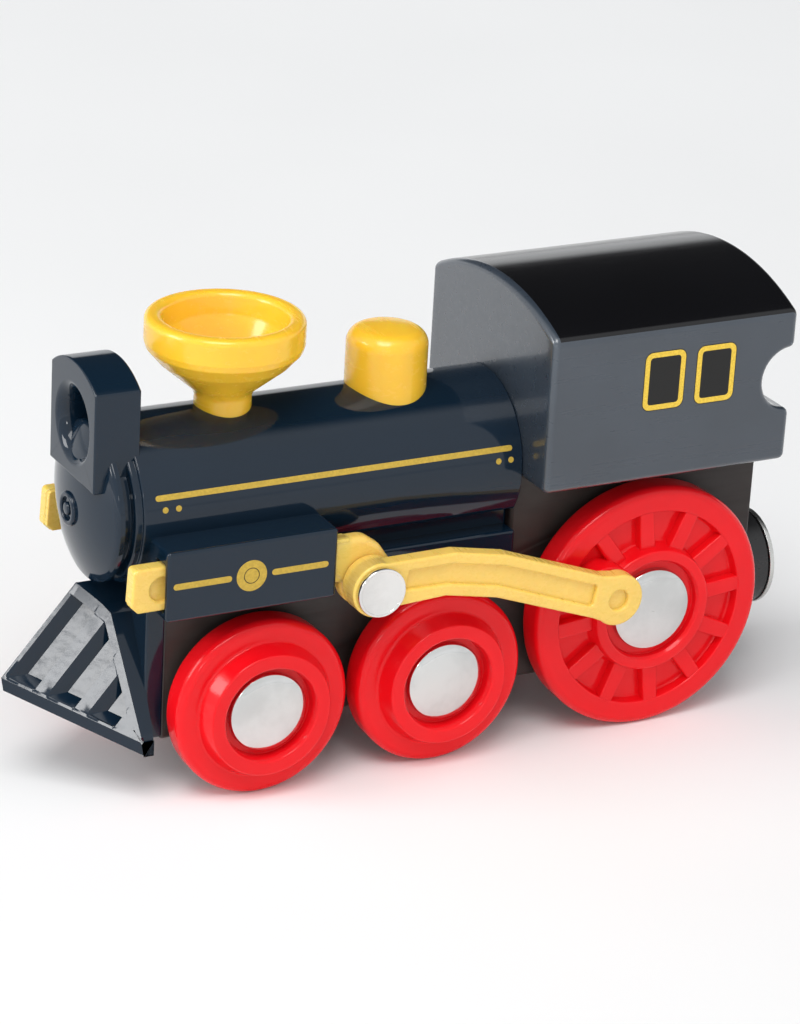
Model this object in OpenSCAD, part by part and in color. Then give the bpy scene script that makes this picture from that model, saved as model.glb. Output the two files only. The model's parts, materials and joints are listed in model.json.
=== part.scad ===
// Push-along toy steam locomotive: wooden chassis and cab, moulded body,
// three wheelsets, sliding pistons and swinging connecting rods.
// Millimetres. +X is the front, +Y the left side, +Z up, wheels stand on z = 0.

/* [Wheels] */
// Outside diameter of the four small wheels
wheel_d = 25.4; // [22:0.1:31]
// Outside diameter of the two spoked drive wheels
drive_wheel_d = 36.2; // [30:0.1:44]
// Width of the wheel tread
tread_w = 4.5; // [3.5:0.1:5.5]
// Distance between the tread centres of one wheelset
gauge = 24.7; // [24:0.1:28]
// Air between the front and the middle wheel
gap_front = 1.5; // [1:0.1:6]
// Air between the middle wheel and the drive wheel
gap_rear = 2.1; // [1.5:0.1:6]
// Diameter of the steel axles
axle_d = 3; // [2.4:0.1:4]
// Number of spokes on a drive wheel
spokes = 12; // [6:1:14]
// Diameter of the domed steel hub caps of the small wheels
cap_d = 11.3; // [9:0.1:11.8]
// Diameter of the domed steel hub caps of the drive wheels
drive_cap_d = 12.1; // [10:0.1:12.6]

/* [Running gear] */
// Crank radius on the drive wheels
crank_r = 9.4; // [8.5:0.1:10]
// Crank angle at rest, above the forward direction
crank_angle = 28.5; // [0:0.5:60]
// Height of the piston bar
bar_h = 6.2; // [5:0.1:6.6]
// Thickness of the piston bar
bar_t = 2.5; // [2:0.1:2.7]
// Distance from the front axle back to the crosshead pin
pin_back = 13.8; // [12:0.1:15]
// Thickness of the connecting rod
rod_t = 2.5; // [2:0.1:3.5]
// Diameter of the crosshead pin head
pin_head_d = 7; // [5:0.1:8]

/* [Body] */
// Diameter of the boiler
boiler_d = 22.8; // [20:0.1:23]
// Length of the cylinder blocks
block_l = 24.7; // [20:0.1:26]
// Height of the cylinder blocks
block_h = 9.9; // [9.6:0.1:12]
// Width over the two cylinder blocks
block_w = 34; // [33:0.1:36]
// Rim diameter of the funnel
funnel_d = 21.6; // [16:0.1:26]
// Height of the funnel rim above the boiler axis
funnel_h = 24; // [20:0.1:30]
// Diameter of the steam dome
dome_d = 11.3; // [8:0.1:14]
// Height of the steam dome top above the boiler axis
dome_h = 19.8; // [15:0.1:24]
// Width of the headlamp box
lamp_w = 14.8; // [12:0.1:16]
// Height of the headlamp box, front face, to the top of the arch
lamp_h = 16.2; // [15:0.1:19]

/* [Cab and chassis] */
// Width of the cab
cab_w = 35; // [34.4:0.1:40]
// Length of the cab
cab_l = 38.9; // [32:0.1:48]
// Height of the cab side walls
cab_h = 22.1; // [17:0.1:27]
// Rise of the arched roof
roof_rise = 4.3; // [2:0.1:7]
// Diameter of the half-round notch across the back of the cab
notch_d = 9; // [6:0.1:11]
// Width of the wooden chassis
chassis_w = 17.6; // [14:0.1:18]
// Height of the chassis underside above the rail
ride_h = 7.6; // [6:0.1:9]

/* [Coupling] */
// Diameter of the round coupling magnet
magnet_d = 14.2; // [10:0.1:15]
// Thickness of the coupling magnet
magnet_t = 0.8; // [0.6:0.1:2]
// Height of the coupling centre above the rail
magnet_z = 16.5; // [15:0.1:20]

/* [Hidden] */
$fn = 96;

e = 0.01;
wr = wheel_d / 2;
dr = drive_wheel_d / 2;
// stations along the loco
xf = 26.9;                           // front axle
xm = xf - (wheel_d + gap_front);     // middle axle
xd = xm - (wr + dr + gap_rear);      // drive axle
// levels
deck = wheel_d + 1;                  // chassis top, body underside
bz = deck + 13.8;                    // boiler axis
br = boiler_d / 2;
pz = deck + 6.9;                     // piston axis
cz = deck + 3.6;                     // crosshead pin
cabz = max(deck + 12.7, drive_wheel_d + 2.9);
// across
yi = gauge / 2 - tread_w / 2;        // small wheel inner face
yo = gauge / 2 + tread_w / 2;        // small wheel outer face
hub = yo + 2.4;                      // hub ring face
rod_y = hub + 0.3;                   // rod back face
rod_o = rod_y + rod_t;               // rod front face
head_y = rod_o + 0.2;                // pin head back face
bar_i = block_w / 2 - 1.2 - bar_t;   // piston bar inner face
bar_o = bar_i + bar_t;               // piston bar outer face
cross_o = max(hub - 1.1, bar_o + 0.1); // crosshead outer face
// body stations
cabx = xd + dr + 2.1;                   // cab front, boiler end
blk_f = xf + 16;                     // cylinder block front
blk_r = blk_f - block_l;             // cylinder block rear
face = xf + 12.7;                    // chassis front
smoke = xf + 17;                     // boiler front edge
lamp_x = xf + 16.1;                  // back of the headlamp box
lamp_z = bz + 3.9;                   // underside of the headlamp box
pinx = xf - pin_back;
eyex = xd + crank_r * cos(crank_angle);
eyez = dr + crank_r * sin(crank_angle);
eye_r = 3.8;
ch_w = chassis_w / 2;
rear = cabx - cab_l - 1;             // chassis rear end

steel = [0.80, 0.80, 0.79];
red = [0.80, 0.09, 0.11];
yellow = [0.96, 0.78, 0.28];
blue = [0.10, 0.14, 0.18];
black = [0.05, 0.05, 0.05];
slate = [0.30, 0.34, 0.39];
amber = [0.95, 0.70, 0.16];

// turns a shape drawn on +Z so that it lies on +Y (side 1) or -Y (side -1)
module across(side) {
  if (side > 0) rotate([-90, 0, 0]) children();
  else rotate([90, 0, 0]) children();
}
// a plate drawn in the x-z plane, between two distances y0 < y1 on one side
module plate(side, y0, y1) {
  translate([0, side > 0 ? y1 : -y0, 0]) rotate([90, 0, 0]) linear_extrude(height = y1 - y0) children();
}
// round bar along X
module bar_x(x0, x1, r, z) {
  translate([x0, 0, z]) rotate([0, 90, 0]) cylinder(r = r, h = x1 - x0);
}
module box(x0, x1, y0, y1, z0, z1) {
  translate([x0, y0, z0]) cube([x1 - x0, y1 - y0, z1 - z0]);
}

// ---------------------------------------------------------------- wood
module chassis_block() {
  color(black) difference() {
    union() {
      box(rear, face, -ch_w, ch_w, ride_h, deck);
      box(rear, cabx, -ch_w, ch_w, deck - e, cabz);
    }
    for (a = [[xf, wr], [xm, wr], [xd, dr]])
      translate([a[0], -ch_w - 1, a[1]]) rotate([-90, 0, 0]) cylinder(r = axle_d / 2 + 0.08, h = chassis_w + 2);
    bar_x(rear - 1, rear + 8, 1.1, magnet_z);
  }
}

module cab_block() {
  roof_r = (pow(cab_w / 2, 2) + pow(roof_rise, 2)) / (2 * roof_rise);
  color(slate) difference() {
    intersection() {
      box(cabx - cab_l, cabx, -cab_w / 2, cab_w / 2, cabz, cabz + cab_h + roof_rise);
      bar_x(cabx - cab_l - 1, cabx + 1, roof_r, cabz + cab_h + roof_rise - roof_r);
    }
    translate([cabx - cab_l + 0.2, -cab_w / 2 - 1, cabz + 12.2]) rotate([-90, 0, 0]) cylinder(r = notch_d / 2, h = cab_w + 2);
  }
}

// ------------------------------------------------------- moulded body
module body_shell() {
  color(blue) difference() {
    union() {
      intersection() {
        bar_x(cabx, face, br, bz);
        box(cabx, face, -br, br, deck + 7.9, bz + br + 1);
      }
      bar_x(face - 4, smoke, br, bz);
      bar_x(smoke - e, smoke + 1, br - 0.5, bz);
      bar_x(smoke + 1 - e, smoke + 2.6, br - 1.9, bz);
      box(cabx, blk_r + 2, -7.6, 7.6, deck, bz);
      box(cabx, blk_r + 2, -10.4, 10.4, deck, deck + 4.9);
      box(blk_r, face, -br, br, deck, bz - 2);
      for (s = [-1, 1])
        box(blk_r, blk_f, s > 0 ? br - 3 : -block_w / 2, s > 0 ? block_w / 2 : 3 - br, deck + 2.4, deck + 2.4 + block_h);
      box(face, face + 2.2, -ch_w, ch_w, ride_h + 0.4, deck + 6);
    }
    // underside relief over the front wheels
    for (s = [-1, 1])
      box(blk_r - 1, face + 2.3, s > 0 ? ch_w : -block_w / 2 - 1, s > 0 ? block_w / 2 + 1 : -ch_w, deck - 1, deck + 2.4);
    // tunnels for the piston bars
    for (s = [-1, 1])
      box(blk_r - 1, blk_f + 1, s > 0 ? bar_i - 0.3 : -bar_o - 0.3, s > 0 ? bar_o + 0.3 : 0.3 - bar_i, pz - bar_h / 2 - 0.3, pz + bar_h / 2 + 0.3);
    // seat of the headlamp box
    box(lamp_x, lamp_x + 7, -lamp_w / 2, lamp_w / 2, lamp_z, bz + br + 1);
    // sockets for funnel and dome
    translate([xf + 0.95, 0, bz + br - 4]) cylinder(r = 3.2, h = 6);
    translate([xf - 23.5, 0, bz + br - 4]) cylinder(r = dome_d / 2 - 1.2, h = 6);
  }
}

module smokebox_door() {
  door_r = br - 0.4;
  bulge = 2.6;
  sr = (pow(door_r, 2) + pow(bulge, 2)) / (2 * bulge);
  x0 = smoke + 2.6;
  x1 = x0 + 0.7;
  color(blue) difference() {
    union() {
      bar_x(x0, x1, door_r, bz);
      intersection() {
        bar_x(x1 - e, x1 + bulge, door_r, bz);
        translate([x1 + bulge - sr, 0, bz]) rotate([0, 90, 0]) rotate_extrude() intersection() {
          circle(r = sr);
          translate([0, -sr]) square([sr, 2 * sr]);
        }
      }
      // turned knob ring and its centre button
      difference() {
        bar_x(x1, x1 + bulge + 0.4, 2.4, bz - 0.7);
        bar_x(x1 + bulge - 0.1, x1 + bulge + 1, 1.7, bz - 0.7);
      }
      bar_x(x1 + bulge - 0.3, x1 + bulge + 0.4, 0.9, bz - 0.7);
    }
    box(lamp_x, lamp_x + 7, -lamp_w / 2, lamp_w / 2, lamp_z, bz + br + 3);
  }
}

module headlamp_box() {
  x1 = lamp_x + 6.5;
  top = lamp_z + lamp_h;
  arch = 12.6;
  hole = lamp_z + 7.4;
  color(blue) difference() {
    intersection() {
      box(lamp_x, x1, -lamp_w / 2, lamp_w / 2, lamp_z, top);
      bar_x(lamp_x - 1, x1 + 1, arch, top - arch);
    }
    translate([x1 - 1.4, 0, hole]) rotate([0, 90, 0]) cylinder(r1 = 4.2, r2 = 5.6, h = 1.4 + e);
    bar_x(x1 - 4.5, x1, 4.2, hole);
  }
}

module cowcatcher() {
  // prow top, prow foot, side top, side foot (left half)
  a = [xf + 21.6, 0, deck + 2.2];
  d = [xf + 32.1, 0, ride_h + 8.7];
  b = [xf + 18.07, 3.5, deck - 1];
  c = [xf + 16.6, 12, ride_h + 1.7];
  xr = face + 2.2;
  u = (d - a) / norm(d - a);
  m = cross(d - a, b - a);
  n = m / norm(m);
  v = cross(n, u);
  // corners of the face measured along it, from the prow top
  bu = (b - a) * u; bv = (b - a) * v;
  cu = (c - a) * u; cv = (c - a) * v;
  du = norm(d - a);
  function top_u(q) = max(1.7, bu + (q - bv) * (cu - bu) / (cv - bv) + 1.3);
  function foot_u(q) = du + q * (cu - du) / cv - 1;
  module half(s) {
    scale([1, s, 1]) difference() {
      hull() polyhedron(
        points = [a, b, c, d,
          [d[0] - 0.5, 0, d[2] - 2], [c[0] - 0.3, 12, c[2] - 1.9], [xr, 12, c[2] - 1.9], [xr, 12, c[2] + 0.2],
          [xr, 0, a[2]], [xr, 5, deck - 0.4], [xr, 0, ride_h + 4]],
        faces = [[0, 1, 2], [0, 2, 3], [3, 2, 5], [3, 5, 4], [2, 7, 6], [2, 6, 5], [1, 9, 7], [1, 7, 2],
                 [0, 8, 9], [0, 9, 1], [8, 10, 9], [9, 10, 7], [10, 6, 7], [10, 4, 5], [10, 5, 6], [0, 3, 4], [0, 4, 10], [0, 10, 8]]);
      // grooves parallel to the prow line, sunk straight back, closed above the foot bar
      for (g = [0.13, 0.406, 0.69]) let (q = g * cv, w = 0.08 * cv)
        multmatrix([[u[0], v[0], 1, a[0]], [u[1], v[1], 0, a[1]], [u[2], v[2], 0, a[2]], [0, 0, 0, 1]])
          translate([0, 0, -2.4]) linear_extrude(height = 8) polygon([
            [top_u(q - w), q - w], [foot_u(q - w), q - w], [foot_u(q + w), q + w], [top_u(q + w), q + w]]);
    }
  }
  color(blue) union() {
    half(1);
    half(-1);
  }
}

// cuts the foot of a part that stands on the round boiler, leaving its spigot
module saddle(r, spigot) {
  difference() {
    translate([-r - 1, 0, 0]) rotate([0, 90, 0]) cylinder(r = br + 0.03, h = 2 * r + 2);
    cylinder(r = spigot, h = br + 1);
  }
}

module funnel() {
  r = funnel_d / 2;
  top = funnel_h;
  color(amber) translate([xf + 0.95, 0, bz]) difference() {
    rotate_extrude() polygon([
      [0, br - 3.9], [3.1, br - 3.9], [3.1, br - 1.2], [3.9, br - 1.2], [3.9, top - 10.4], [r - 0.6, top - 5.4],
      [r, top - 4.6], [r, top - 0.8], [r - 0.7, top], [r - 1.7, top], [r - 2.4, top - 0.8],
      [r - 3.2, top - 3.6], [4.9, top - 7.2], [0, top - 7.6]]);
    saddle(r, 3.1);
  }
}

module steam_dome() {
  r = dome_d / 2;
  color(amber) translate([xf - 23.5, 0, bz]) difference() {
    rotate_extrude() polygon([[0, br - 3.9], [r - 1.3, br - 3.9], [r - 1.3, br - 2.4], [r, br - 2.4], [r, dome_h - 3.2],
      [r - 0.4, dome_h - 2.3], [r - 1.3, dome_h - 1.3], [r - 2.8, dome_h - 0.5], [0, dome_h]]);
    saddle(r, r - 1.3);
  }
}

// -------------------------------------------------------------- wheels
module axle(x, z) {
  color(steel) translate([x, -yo - 0.1, z]) rotate([-90, 0, 0]) cylinder(r = axle_d / 2, h = 2 * yo + 0.2);
}
module small_wheel(x, side) {
  ar = axle_d / 2;
  color(red) translate([x, 0, wr]) across(side) rotate_extrude() polygon([
    [ar, yi], [wr - 1.2, yi], [wr - 0.35, yi + 0.35], [wr, yi + 1.2], [wr, yo - 1.2], [wr - 0.35, yo - 0.35], [wr - 1.2, yo],
    [9.7, yo], [9.0, hub - 0.3], [8.7, hub], [6.9, hub], [6.1, hub - 0.8], [6.1, yo + 0.3], [ar, yo + 0.3]]);
}
module small_cap(x, side) {
  r = cap_d / 2;
  h = yo + 0.3;
  color(steel) translate([x, 0, wr]) across(side) rotate_extrude() polygon([
    [0, h], [r, h], [r, h + 0.9], [r - 0.25, h + 1.15], [r * 0.75, h + 1.5], [r * 0.4, h + 1.7], [0, h + 1.78]]);
}
module drive_wheel(side) {
  ar = axle_d / 2;
  a = -side * crank_angle;
  di = gauge / 2 - (tread_w + 0.4) / 2;
  dd = gauge / 2 + (tread_w + 0.4) / 2;
  rim = dr - 3.5;
  color(red) translate([xd, 0, dr]) across(side) difference() {
    union() {
      rotate_extrude() polygon([
        [ar, di], [dr - 1.2, di], [dr - 0.35, di + 0.35], [dr, di + 1.2], [dr, dd - 1.2], [dr - 0.35, dd - 0.35], [dr - 1.2, dd],
        [rim, dd], [rim, dd - 1.5], [9.5, dd - 1.5], [9.2, dd + 0.8], [8.9, dd + 1.05], [7.6, dd + 1.05], [6.6, dd + 0.3], [6.6, dd - 0.3], [ar, dd - 0.3]]);
      for (i = [0 : spokes - 1]) rotate([0, 0, i * 360 / spokes + 15])
        translate([9, -1.15, dd - 1.6]) cube([rim - 8.5, 2.3, 1.6]);
      rotate([0, 0, a]) translate([crank_r, 0, dd - 1.6]) cylinder(r = 3.9, h = hub - dd + 1.6);
    }
    translate([0, 0, dd - 0.3]) cylinder(r = 6.6, h = 5);
  }
}
module drive_cap(side) {
  r = drive_cap_d / 2;
  h = gauge / 2 + (tread_w + 0.4) / 2 - 0.3;
  color(steel) translate([xd, 0, dr]) across(side) rotate_extrude() polygon([
    [0, h], [r, h], [r, h + 0.9], [r - 0.25, h + 1.15], [r * 0.75, h + 1.5], [r * 0.4, h + 1.7], [0, h + 1.78]]);
}
module front_axle() { axle(xf, wr); }
module middle_axle() { axle(xm, wr); }
module drive_axle() {
  h = gauge / 2 + (tread_w + 0.4) / 2 - 0.3;
  color(steel) translate([xd, -h, dr]) rotate([-90, 0, 0]) cylinder(r = axle_d / 2, h = 2 * h);
}
module front_wheel_left() { small_wheel(xf, 1); }
module front_wheel_right() { small_wheel(xf, -1); }
module middle_wheel_left() { small_wheel(xm, 1); }
module middle_wheel_right() { small_wheel(xm, -1); }
module drive_wheel_left() { drive_wheel(1); }
module drive_wheel_right() { drive_wheel(-1); }
module front_cap_left() { small_cap(xf, 1); }
module front_cap_right() { small_cap(xf, -1); }
module middle_cap_left() { small_cap(xm, 1); }
module middle_cap_right() { small_cap(xm, -1); }
module drive_cap_left() { drive_cap(1); }
module drive_cap_right() { drive_cap(-1); }

// -------------------------------------------------------- running gear
module piston(side) {
  front = blk_f + 4.5;
  color(yellow) difference() {
    union() {
      plate(side, bar_i, bar_o) polygon([[pinx + 0.6, pz - bar_h / 2], [front - 0.8, pz - bar_h / 2], [front, pz - bar_h / 2 + 0.8],
        [front, pz + bar_h / 2 - 0.8], [front - 0.8, pz + bar_h / 2], [pinx + 0.6, pz + bar_h / 2]]);
      plate(side, bar_i, cross_o) union() {
        translate([pinx, cz]) circle(r = 3.9);
        polygon([[pinx + 3.9, cz], [pinx - 3.9, cz], [pinx - 3.7, pz - bar_h / 2 + 2], [pinx - 2.9, pz - bar_h / 2 + 3.4],
          [pinx - 1.3, pz + bar_h / 2 - 1], [pinx - 0.3, pz + bar_h / 2 - 0.3], [pinx + 0.8, pz + bar_h / 2], [pinx + 3.9, pz + bar_h / 2]]);
      }
    }
    // socket for the crosshead pin
    translate([pinx, 0, cz]) across(side) translate([0, 0, bar_i + 0.8]) cylinder(r = 1.5, h = 10);
    // finger dimple beside the block
    translate([blk_f + 0.15, 0, pz - 0.1]) across(side) translate([0, 0, bar_o - 0.8]) cylinder(r = 1.75, h = 2);
  }
}
module piston_left() { piston(1); }
module piston_right() { piston(-1); }

module crosshead_pin(side) {
  color(steel) translate([pinx, 0, cz]) across(side) union() {
    translate([0, 0, bar_i + 0.8]) cylinder(r = 1.5, h = head_y - bar_i - 0.8);
    translate([0, 0, head_y]) cylinder(r = pin_head_d / 2, h = 0.7);
  }
}
module crosshead_pin_left() { crosshead_pin(1); }
module crosshead_pin_right() { crosshead_pin(-1); }

// rod outline drawn along the line from pin to eye, arched over the middle wheel
module rod_line(h) {
  l = norm([pinx - eyex, cz - eyez]);
  t = atan2(cz - eyez, pinx - eyex);
  translate([pinx, cz]) rotate(t) polygon([
    [0, 0.5 + h], [-10.5 * l / 38.4, 2.8 + h], [-18.6 * l / 38.4, 2.8 + h], [-35 * l / 38.4, 0.3 + h], [-l, h - 0.3],
    [-l, 0.3 - h], [-35 * l / 38.4, 0.3 - h], [-18.6 * l / 38.4, 2.8 - h], [-10.5 * l / 38.4, 2.8 - h], [0, 0.5 - h]]);
}
module rod(side) {
  color(yellow) difference() {
    union() {
      plate(side, rod_y, rod_o) union() {
        rod_line(3.15);
        translate([eyex, eyez]) circle(r = eye_r);
        translate([pinx, cz]) circle(r = 3.9);
      }
      translate([pinx, 0, cz]) across(side) translate([0, 0, cross_o + 0.2]) cylinder(r = 3.9, h = rod_o - cross_o - 0.2);
    }
    // bearing hole on the crosshead pin
    translate([pinx, 0, cz]) across(side) cylinder(r = 1.58, h = 40);
    // channel on the face and dimple over the crank
    plate(side, rod_o - 0.7, rod_o + 1) difference() {
      rod_line(1.5);
      translate([pinx, cz]) circle(r = 4.6);
      translate([eyex, eyez]) circle(r = 4.2);
    }
    translate([eyex, 0, eyez]) across(side) translate([0, 0, rod_o - 1]) cylinder(r = 1.5, h = 3);
  }
}
module rod_left() { rod(1); }
module rod_right() { rod(-1); }

// ------------------------------------------------------------- coupling
module magnet_housing() {
  color(black) difference() {
    bar_x(rear - 5.6, rear, magnet_d / 2 - 0.2, magnet_z);
    bar_x(rear - 6, rear + 1, 1.1, magnet_z);
  }
}
module coupling_magnet() {
  color(steel) difference() {
    bar_x(rear - 5.6 - magnet_t, rear - 5.6, magnet_d / 2, magnet_z);
    bar_x(rear - 6 - magnet_t, rear, 1.1, magnet_z);
    bar_x(rear - 6 - magnet_t, rear - 5.2 - magnet_t, 1.9, magnet_z);
  }
}
module magnet_rivet() {
  color(steel) union() {
    bar_x(rear - 5.6 - magnet_t, rear + 8, 1.1, magnet_z);
    bar_x(rear - 5.6 - magnet_t, rear - 5.2 - magnet_t, 1.9, magnet_z);
  }
}

chassis_block();
body_shell();
smokebox_door();
headlamp_box();
cowcatcher();
funnel();
steam_dome();
cab_block();
front_axle();
middle_axle();
drive_axle();
front_wheel_left();
front_wheel_right();
middle_wheel_left();
middle_wheel_right();
drive_wheel_left();
drive_wheel_right();
front_cap_left();
front_cap_right();
middle_cap_left();
middle_cap_right();
drive_cap_left();
drive_cap_right();
piston_left();
piston_right();
rod_left();
rod_right();
crosshead_pin_left();
crosshead_pin_right();
magnet_housing();
coupling_magnet();
magnet_rivet();
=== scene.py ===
"""Push-along toy steam locomotive: the looks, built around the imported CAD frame."""
import json
import math

import bmesh
import bpy
from mathutils import Matrix, Vector


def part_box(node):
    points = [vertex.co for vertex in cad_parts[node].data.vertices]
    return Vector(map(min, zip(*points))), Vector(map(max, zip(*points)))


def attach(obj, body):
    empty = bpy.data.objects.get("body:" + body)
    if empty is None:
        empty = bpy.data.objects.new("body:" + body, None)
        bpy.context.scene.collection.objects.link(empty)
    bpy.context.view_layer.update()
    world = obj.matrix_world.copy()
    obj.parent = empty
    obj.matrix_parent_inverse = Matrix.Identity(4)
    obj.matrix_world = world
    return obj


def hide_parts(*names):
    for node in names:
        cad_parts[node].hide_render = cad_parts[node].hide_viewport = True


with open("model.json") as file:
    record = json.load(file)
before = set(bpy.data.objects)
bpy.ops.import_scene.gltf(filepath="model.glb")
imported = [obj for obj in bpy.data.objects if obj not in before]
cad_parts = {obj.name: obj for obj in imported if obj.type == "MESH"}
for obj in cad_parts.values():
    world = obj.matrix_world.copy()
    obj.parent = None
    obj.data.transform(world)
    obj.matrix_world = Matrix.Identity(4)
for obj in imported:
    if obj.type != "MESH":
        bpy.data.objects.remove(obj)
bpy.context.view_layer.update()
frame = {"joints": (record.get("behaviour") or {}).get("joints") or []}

MM = 0.001                      # shapes are drawn in millimetres
SIDES = ((1, "left"), (-1, "right"))


# ------------------------------------------------------------ places, from the frame
def span(node):
    lo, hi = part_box(node)
    return lo / MM, hi / MM


chassis_lo, chassis_hi = span("chassis_block")
body_hi = span("body_shell")[1]
door_lo, door_hi = span("smokebox_door")
lamp_lo, lamp_hi = span("headlamp_box")
prow_lo, prow_hi = span("cowcatcher")
funnel_lo, funnel_hi = span("funnel")
dome_lo, dome_hi = span("steam_dome")
cab_lo, cab_hi = span("cab_block")
wheel_lo, wheel_hi = span("front_wheel_left")
drive_lo, drive_hi = span("drive_wheel_left")
cap_lo, cap_hi = span("front_cap_left")
drive_cap_lo, drive_cap_hi = span("drive_cap_left")
piston_lo, piston_hi = span("piston_left")
rod_lo = span("rod_left")[0]
pin_lo, pin_hi = span("crosshead_pin_left")
magnet_lo, magnet_hi = span("coupling_magnet")
housing_lo, housing_hi = span("magnet_housing")
axle_lo, axle_hi = span("front_axle")

joint_at = {j["name"]: Vector(j["pos_m"]) / MM for j in frame["joints"] if j.get("pos_m")}
axle_at = {n: joint_at[n + "_wheels_spin"] for n in ("front", "middle", "drive")}
pin_at = joint_at["left_rod_swing"]

wheel_r = wheel_hi.z - axle_at["front"].z
drive_r = drive_hi.z - axle_at["drive"].z
axle_r = (axle_hi.x - axle_lo.x) / 2
tread_in, hub_y = wheel_lo.y, wheel_hi.y
tread_w = 4.5
tread_out = tread_in + tread_w
deck = 2 * wheel_r + 1          # chassis top
boiler_r = door_hi.y + 0.4
boiler_z = door_lo.z + door_hi.y
boiler_end = body_hi.x - 2.6    # front edge of the boiler
face = chassis_hi.x
front_x = axle_at["front"].x
body_mid_x = front_x - 8.7      # rear face of the cylinder blocks
block_front = body_mid_x + 24.7
pz, bar_t, bar_h = deck + 6.9, 2.5, 6.2     # piston bar: height of its middle, thickness, height
ride_h = chassis_lo.z
crank_r, crank_angle = 9.4, math.radians(28.5)
eye_at = axle_at["drive"] + Vector((crank_r * math.cos(crank_angle), 0, crank_r * math.sin(crank_angle)))


# ------------------------------------------------------------ shape helpers
# A shape is (verts, faces). Outlines are lists of (a, b); a place turns (a, b, h) into (x, y, z).
def on_side(side):
    """a along X, b up, h outwards on that side"""
    return lambda a, b, h: (a, side * h, b)


def along_x(a, b, h):
    """a along Y, b up, h along X"""
    return (h, a, b)


def upright(a, b, h):
    return (a, b, h)


def arc(cx, cy, r, start, end, steps=8):
    """points on a circle, angles in degrees"""
    out = []
    for i in range(steps + 1):
        t = math.radians(start + (end - start) * i / steps)
        out.append((cx + r * math.cos(t), cy + r * math.sin(t)))
    return out


def circle(cx, cy, r, steps=64):
    return arc(cx, cy, r, 0, 360 - 360 / steps, steps - 1)


def soften(points, steps=5, closed=True):
    """Corners given as (a, b, radius) become arcs; (a, b) stays sharp."""
    out, n = [], len(points)
    for i, p in enumerate(points):
        r = p[2] if len(p) > 2 else 0
        inside = closed or 0 < i < n - 1
        if not r or not inside:
            out.append((p[0], p[1]))
            continue
        c = Vector(p[:2])
        u, v = Vector(points[i - 1][:2]) - c, Vector(points[(i + 1) % n][:2]) - c
        lu, lv = u.length, v.length
        u, v = u / lu, v / lv
        half = math.acos(max(-1, min(1, u.dot(v)))) / 2
        t = min(r / math.tan(half), 0.48 * lu, 0.48 * lv)
        r = t * math.tan(half)
        centre = c + (u + v).normalized() * (r / math.sin(half))
        a, b = c + u * t - centre, c + v * t - centre
        turn = a.angle_signed(b)
        for k in range(steps + 1):
            q = a.copy()
            q.rotate(Matrix.Rotation(-turn * k / steps, 2))
            out.append(tuple(centre + q))
    return out


def inset(outline, d):
    """The outline moved inwards by d; outlines run counter-clockwise."""
    if abs(d) < 1e-9:
        return list(outline)
    out, n = [], len(outline)
    for i, p in enumerate(outline):
        p = Vector(p)
        e0 = (p - Vector(outline[i - 1])).normalized()
        e1 = (Vector(outline[(i + 1) % n]) - p).normalized()
        n0, n1 = Vector((-e0.y, e0.x)), Vector((-e1.y, e1.x))
        out.append(tuple(p + (n0 + n1) * (d / (1 + max(-0.5, n0.dot(n1))))))
    return out


def finer(outline, longest):
    """The same outline with extra points on its long sides"""
    out = []
    for i, p in enumerate(outline):
        q = outline[(i + 1) % len(outline)]
        parts = max(1, math.ceil(math.dist(p, q) / longest))
        out += [(p[0] + (q[0] - p[0]) * k / parts, p[1] + (q[1] - p[1]) * k / parts) for k in range(parts)]
    return out


def loft(rings, wrap=False, caps=True):
    """Quads between rings of equal length; caps close both ends."""
    n = len(rings[0])
    verts = [p for ring in rings for p in ring]
    faces = []
    last = len(rings) if wrap else len(rings) - 1
    for k in range(last):
        a, b = k * n, (k + 1) % len(rings) * n
        faces += [(a + i, a + (i + 1) % n, b + (i + 1) % n, b + i) for i in range(n)]
    if caps and not wrap:
        faces += [tuple(range(n)), tuple(range(len(verts) - n, len(verts)))]
    return verts, faces


def slab(outline, h0, h1, bevel, place, steps=4):
    """An outline with thickness and rounded edges on both faces."""
    rings = []
    for k in range(steps + 1):
        t = math.radians(90 * k / steps)
        rings.append((bevel * (1 - math.sin(t)), h0 + bevel * (1 - math.cos(t))))
    rings += [(d, h0 + h1 - h) for d, h in reversed(rings)]
    return loft([[place(a, b, h) for a, b in inset(outline, d)] for d, h in rings])


def rounded(a0, a1, b0, b1, r, steps=5):
    """A rectangle with round corners, counter-clockwise."""
    return soften([(a0, b0, r), (a1, b0, r), (a1, b1, r), (a0, b1, r)], steps)


def brick(x0, x1, y0, y1, z0, z1, bevel=0.5):
    return slab(rounded(y0, y1, z0, z1, bevel), x0, x1, bevel, along_x)


def lathe(profile, place, ca, cb, wrap=False, steps=96):
    """Turns a profile of (radius, h) about (ca, cb); radius 0 at an end closes it."""
    rings = []
    for r, h in profile:
        r = max(r, 1e-4)
        rings.append([place(ca + a, cb + b, h) for a, b in circle(0, 0, r, steps)])
    return loft(rings, wrap=wrap, caps=not wrap)


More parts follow.
